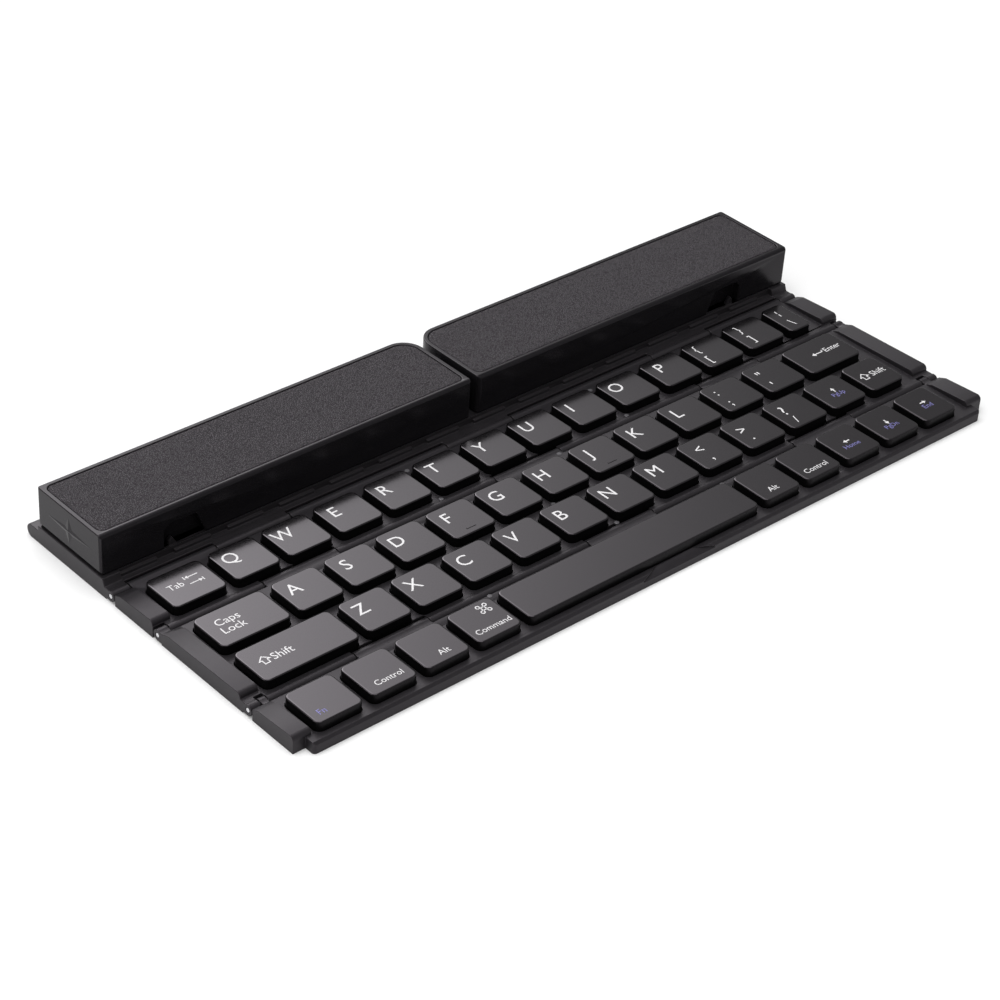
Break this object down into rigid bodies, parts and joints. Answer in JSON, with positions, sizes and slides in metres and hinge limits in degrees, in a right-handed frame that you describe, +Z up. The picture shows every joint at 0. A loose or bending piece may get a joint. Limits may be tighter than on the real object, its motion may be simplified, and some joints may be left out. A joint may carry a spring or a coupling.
{
  "type": "folding keyboard",
  "caption": "Roll-up folding keyboard: hinged key strips on a tray with two swing-out stand arms, open flat on a table.",
  "frame": {"origin": "on the table, under the middle of the open keyboard's outline", "axes": "+X to the right along the rows of keys, +Y to the back, away from the typist, +Z up"},
  "size_m": [0.25, 0.1152, 0.0176],
  "materials": {
    "tray_plastic": "satin black moulded plastic",
    "arm_plastic": "smooth black moulded plastic",
    "pad_leather": "fine-grained charcoal leatherette",
    "strip_plastic": "satin black moulded plastic",
    "key_plastic": "satin key tops with glossy sides",
    "steel": "bright steel pins",
    "electronics": "circuit board and wrapped battery"
  },
  "bodies": {
    "tray": {"base_tray": "tray_plastic", "tray_electronics": "electronics", "tray_fittings": "steel"},
    "left_arm": {"left_arm_case": "arm_plastic", "left_arm_pad": "pad_leather"},
    "right_arm": {"right_arm_case": "arm_plastic", "right_arm_pad": "pad_leather"},
    "strip_1": {"strip_1": "strip_plastic"},
    "strip_2": {"strip_2": "strip_plastic"},
    "strip_3": {"strip_3": "strip_plastic"},
    "key_tab": {"key_tab": "key_plastic"},
    "key_q": {"key_q": "key_plastic"},
    "key_w": {"key_w": "key_plastic"},
    "key_e": {"key_e": "key_plastic"},
    "key_r": {"key_r": "key_plastic"},
    "key_t": {"key_t": "key_plastic"},
    "key_y": {"key_y": "key_plastic"},
    "key_u": {"key_u": "key_plastic"},
    "key_i": {"key_i": "key_plastic"},
    "key_o": {"key_o": "key_plastic"},
    "key_p": {"key_p": "key_plastic"},
    "key_left_bracket": {"key_left_bracket": "key_plastic"},
    "key_right_bracket": {"key_right_bracket": "key_plastic"},
    "key_backslash": {"key_backslash": "key_plastic"},
    "key_caps_lock": {"key_caps_lock": "key_plastic"},
    "key_a": {"key_a": "key_plastic"},
    "key_s": {"key_s": "key_plastic"},
    "key_d": {"key_d": "key_plastic"},
    "key_f": {"key_f": "key_plastic"},
    "key_g": {"key_g": "key_plastic"},
    "key_h": {"key_h": "key_plastic"},
    "key_j": {"key_j": "key_plastic"},
    "key_k": {"key_k": "key_plastic"},
    "key_l": {"key_l": "key_plastic"},
    "key_semicolon": {"key_semicolon": "key_plastic"},
    "key_quote": {"key_quote": "key_plastic"},
    "key_enter": {"key_enter": "key_plastic"},
    "key_shift_left": {"key_shift_left": "key_plastic"},
    "key_z": {"key_z": "key_plastic"},
    "key_x": {"key_x": "key_plastic"},
    "key_c": {"key_c": "key_plastic"},
    "key_v": {"key_v": "key_plastic"},
    "key_b": {"key_b": "key_plastic"},
    "key_n": {"key_n": "key_plastic"},
    "key_m": {"key_m": "key_plastic"},
    "key_comma": {"key_comma": "key_plastic"},
    "key_period": {"key_period": "key_plastic"},
    "key_slash": {"key_slash": "key_plastic"},
    "key_page_up": {"key_page_up": "key_plastic"},
    "key_shift_right": {"key_shift_right": "key_plastic"},
    "key_fn": {"key_fn": "key_plastic"},
    "key_control_left": {"key_control_left": "key_plastic"},
    "key_alt_left": {"key_alt_left": "key_plastic"},
    "key_command": {"key_command": "key_plastic"},
    "key_space": {"key_space": "key_plastic"},
    "key_alt_right": {"key_alt_right": "key_plastic"},
    "key_control_right": {"key_control_right": "key_plastic"},
    "key_home": {"key_home": "key_plastic"},
    "key_page_down": {"key_page_down": "key_plastic"},
    "key_end": {"key_end": "key_plastic"}
  },
  "joints": [
    {"name": "strip_1_fold", "type": "hinge", "parent": "tray", "child": "strip_1", "pos_m": [0, 0.02005, 0.002], "axis": [-1, 0, 0], "range_deg": [0, 90]},
    {"name": "strip_2_fold", "type": "hinge", "parent": "strip_1", "child": "strip_2", "pos_m": [0, 0.00005, 0.002], "axis": [-1, 0, 0], "range_deg": [0, 90]},
    {"name": "strip_3_fold", "type": "hinge", "parent": "strip_2", "child": "strip_3", "pos_m": [0, -0.03675, 0.002], "axis": [-1, 0, 0], "range_deg": [0, 90]},
    {"name": "left_arm_swing", "type": "hinge", "parent": "tray", "child": "left_arm", "pos_m": [-0.00765, 0.04595, 0.0056], "axis": [0, 0, 1], "range_deg": [-90, 0]},
    {"name": "right_arm_swing", "type": "hinge", "parent": "tray", "child": "right_arm", "pos_m": [0.00765, 0.04595, 0.0056], "axis": [0, 0, -1], "range_deg": [-90, 0]},
    {"name": "key_tab_press", "type": "slide", "parent": "strip_1", "child": "key_tab", "axis": [0, 0, -1], "range_m": [0, 0.0012], "stiffness_N_per_m": 300},
    {"name": "key_q_press", "type": "slide", "parent": "strip_1", "child": "key_q", "axis": [0, 0, -1], "range_m": [0, 0.0012], "stiffness_N_per_m": 300},
    {"name": "key_w_press", "type": "slide", "parent": "strip_1", "child": "key_w", "axis": [0, 0, -1], "range_m": [0, 0.0012], "stiffness_N_per_m": 300},
    {"name": "key_e_press", "type": "slide", "parent": "strip_1", "child": "key_e", "axis": [0, 0, -1], "range_m": [0, 0.0012], "stiffness_N_per_m": 300},
    {"name": "key_r_press", "type": "slide", "parent": "strip_1", "child": "key_r", "axis": [0, 0, -1], "range_m": [0, 0.0012], "stiffness_N_per_m": 300},
    {"name": "key_t_press", "type": "slide", "parent": "strip_1", "child": "key_t", "axis": [0, 0, -1], "range_m": [0, 0.0012], "stiffness_N_per_m": 300},
    {"name": "key_y_press", "type": "slide", "parent": "strip_1", "child": "key_y", "axis": [0, 0, -1], "range_m": [0, 0.0012], "stiffness_N_per_m": 300},
    {"name": "key_u_press", "type": "slide", "parent": "strip_1", "child": "key_u", "axis": [0, 0, -1], "range_m": [0, 0.0012], "stiffness_N_per_m": 300},
    {"name": "key_i_press", "type": "slide", "parent": "strip_1", "child": "key_i", "axis": [0, 0, -1], "range_m": [0, 0.0012], "stiffness_N_per_m": 300},
    {"name": "key_o_press", "type": "slide", "parent": "strip_1", "child": "key_o", "axis": [0, 0, -1], "range_m": [0, 0.0012], "stiffness_N_per_m": 300},
    {"name": "key_p_press", "type": "slide", "parent": "strip_1", "child": "key_p", "axis": [0, 0, -1], "range_m": [0, 0.0012], "stiffness_N_per_m": 300},
    {"name": "key_left_bracket_press", "type": "slide", "parent": "strip_1", "child": "key_left_bracket", "axis": [0, 0, -1], "range_m": [0, 0.0012], "stiffness_N_per_m": 300},
    {"name": "key_right_bracket_press", "type": "slide", "parent": "strip_1", "child": "key_right_bracket", "axis": [0, 0, -1], "range_m": [0, 0.0012], "stiffness_N_per_m": 300},
    {"name": "key_backslash_press", "type": "slide", "parent": "strip_1", "child": "key_backslash", "axis": [0, 0, -1], "range_m": [0, 0.0012], "stiffness_N_per_m": 300},
    {"name": "key_caps_lock_press", "type": "slide", "parent": "strip_2", "child": "key_caps_lock", "axis": [0, 0, -1], "range_m": [0, 0.0012], "stiffness_N_per_m": 300},
    {"name": "key_a_press", "type": "slide", "parent": "strip_2", "child": "key_a", "axis": [0, 0, -1], "range_m": [0, 0.0012], "stiffness_N_per_m": 300},
    {"name": "key_s_press", "type": "slide", "parent": "strip_2", "child": "key_s", "axis": [0, 0, -1], "range_m": [0, 0.0012], "stiffness_N_per_m": 300},
    {"name": "key_d_press", "type": "slide", "parent": "strip_2", "child": "key_d", "axis": [0, 0, -1], "range_m": [0, 0.0012], "stiffness_N_per_m": 300},
    {"name": "key_f_press", "type": "slide", "parent": "strip_2", "child": "key_f", "axis": [0, 0, -1], "range_m": [0, 0.0012], "stiffness_N_per_m": 300},
    {"name": "key_g_press", "type": "slide", "parent": "strip_2", "child": "key_g", "axis": [0, 0, -1], "range_m": [0, 0.0012], "stiffness_N_per_m": 300},
    {"name": "key_h_press", "type": "slide", "parent": "strip_2", "child": "key_h", "axis": [0, 0, -1], "range_m": [0, 0.0012], "stiffness_N_per_m": 300},
    {"name": "key_j_press", "type": "slide", "parent": "strip_2", "child": "key_j", "axis": [0, 0, -1], "range_m": [0, 0.0012], "stiffness_N_per_m": 300},
    {"name": "key_k_press", "type": "slide", "parent": "strip_2", "child": "key_k", "axis": [0, 0, -1], "range_m": [0, 0.0012], "stiffness_N_per_m": 300},
    {"name": "key_l_press", "type": "slide", "parent": "strip_2", "child": "key_l", "axis": [0, 0, -1], "range_m": [0, 0.0012], "stiffness_N_per_m": 300},
    {"name": "key_semicolon_press", "type": "slide", "parent": "strip_2", "child": "key_semicolon", "axis": [0, 0, -1], "range_m": [0, 0.0012], "stiffness_N_per_m": 300},
    {"name": "key_quote_press", "type": "slide", "parent": "strip_2", "child": "key_quote", "axis": [0, 0, -1], "range_m": [0, 0.0012], "stiffness_N_per_m": 300},
    {"name": "key_enter_press", "type": "slide", "parent": "strip_2", "child": "key_enter", "axis": [0, 0, -1], "range_m": [0, 0.0012], "stiffness_N_per_m": 300},
    {"name": "key_shift_left_press", "type": "slide", "parent": "strip_2", "child": "key_shift_left", "axis": [0, 0, -1], "range_m": [0, 0.0012], "stiffness_N_per_m": 300},
    {"name": "key_z_press", "type": "slide", "parent": "strip_2", "child": "key_z", "axis": [0, 0, -1], "range_m": [0, 0.0012], "stiffness_N_per_m": 300},
    {"name": "key_x_press", "type": "slide", "parent": "strip_2", "child": "key_x", "axis": [0, 0, -1], "range_m": [0, 0.0012], "stiffness_N_per_m": 300},
    {"name": "key_c_press", "type": "slide", "parent": "strip_2", "child": "key_c", "axis": [0, 0, -1], "range_m": [0, 0.0012], "stiffness_N_per_m": 300},
    {"name": "key_v_press", "type": "slide", "parent": "strip_2", "child": "key_v", "axis": [0, 0, -1], "range_m": [0, 0.0012], "stiffness_N_per_m": 300},
    {"name": "key_b_press", "type": "slide", "parent": "strip_2", "child": "key_b", "axis": [0, 0, -1], "range_m": [0, 0.0012], "stiffness_N_per_m": 300},
    {"name": "key_n_press", "type": "slide", "parent": "strip_2", "child": "key_n", "axis": [0, 0, -1], "range_m": [0, 0.0012], "stiffness_N_per_m": 300},
    {"name": "key_m_press", "type": "slide", "parent": "strip_2", "child": "key_m", "axis": [0, 0, -1], "range_m": [0, 0.0012], "stiffness_N_per_m": 300},
    {"name": "key_comma_press", "type": "slide", "parent": "strip_2", "child": "key_comma", "axis": [0, 0, -1], "range_m": [0, 0.0012], "stiffness_N_per_m": 300},
    {"name": "key_period_press", "type": "slide", "parent": "strip_2", "child": "key_period", "axis": [0, 0, -1], "range_m": [0, 0.0012], "stiffness_N_per_m": 300},
    {"name": "key_slash_press", "type": "slide", "parent": "strip_2", "child": "key_slash", "axis": [0, 0, -1], "range_m": [0, 0.0012], "stiffness_N_per_m": 300},
    {"name": "key_page_up_press", "type": "slide", "parent": "strip_2", "child": "key_page_up", "axis": [0, 0, -1], "range_m": [0, 0.0012], "stiffness_N_per_m": 300},
    {"name": "key_shift_right_press", "type": "slide", "parent": "strip_2", "child": "key_shift_right", "axis": [0, 0, -1], "range_m": [0, 0.0012], "stiffness_N_per_m": 300},
    {"name": "key_fn_press", "type": "slide", "parent": "strip_3", "child": "key_fn", "axis": [0, 0, -1], "range_m": [0, 0.0012], "stiffness_N_per_m": 300},
    {"name": "key_control_left_press", "type": "slide", "parent": "strip_3", "child": "key_control_left", "axis": [0, 0, -1], "range_m": [0, 0.0012], "stiffness_N_per_m": 300},
    {"name": "key_alt_left_press", "type": "slide", "parent": "strip_3", "child": "key_alt_left", "axis": [0, 0, -1], "range_m": [0, 0.0012], "stiffness_N_per_m": 300},
    {"name": "key_command_press", "type": "slide", "parent": "strip_3", "child": "key_command", "axis": [0, 0, -1], "range_m": [0, 0.0012], "stiffness_N_per_m": 300},
    {"name": "key_space_press", "type": "slide", "parent": "strip_3", "child": "key_space", "axis": [0, 0, -1], "range_m": [0, 0.0012], "stiffness_N_per_m": 300},
    {"name": "key_alt_right_press", "type": "slide", "parent": "strip_3", "child": "key_alt_right", "axis": [0, 0, -1], "range_m": [0, 0.0012], "stiffness_N_per_m": 300},
    {"name": "key_control_right_press", "type": "slide", "parent": "strip_3", "child": "key_control_right", "axis": [0, 0, -1], "range_m": [0, 0.0012], "stiffness_N_per_m": 300},
    {"name": "key_home_press", "type": "slide", "parent": "strip_3", "child": "key_home", "axis": [0, 0, -1], "range_m": [0, 0.0012], "stiffness_N_per_m": 300},
    {"name": "key_page_down_press", "type": "slide", "parent": "strip_3", "child": "key_page_down", "axis": [0, 0, -1], "range_m": [0, 0.0012], "stiffness_N_per_m": 300},
    {"name": "key_end_press", "type": "slide", "parent": "strip_3", "child": "key_end", "axis": [0, 0, -1], "range_m": [0, 0.0012], "stiffness_N_per_m": 300}
  ]
}
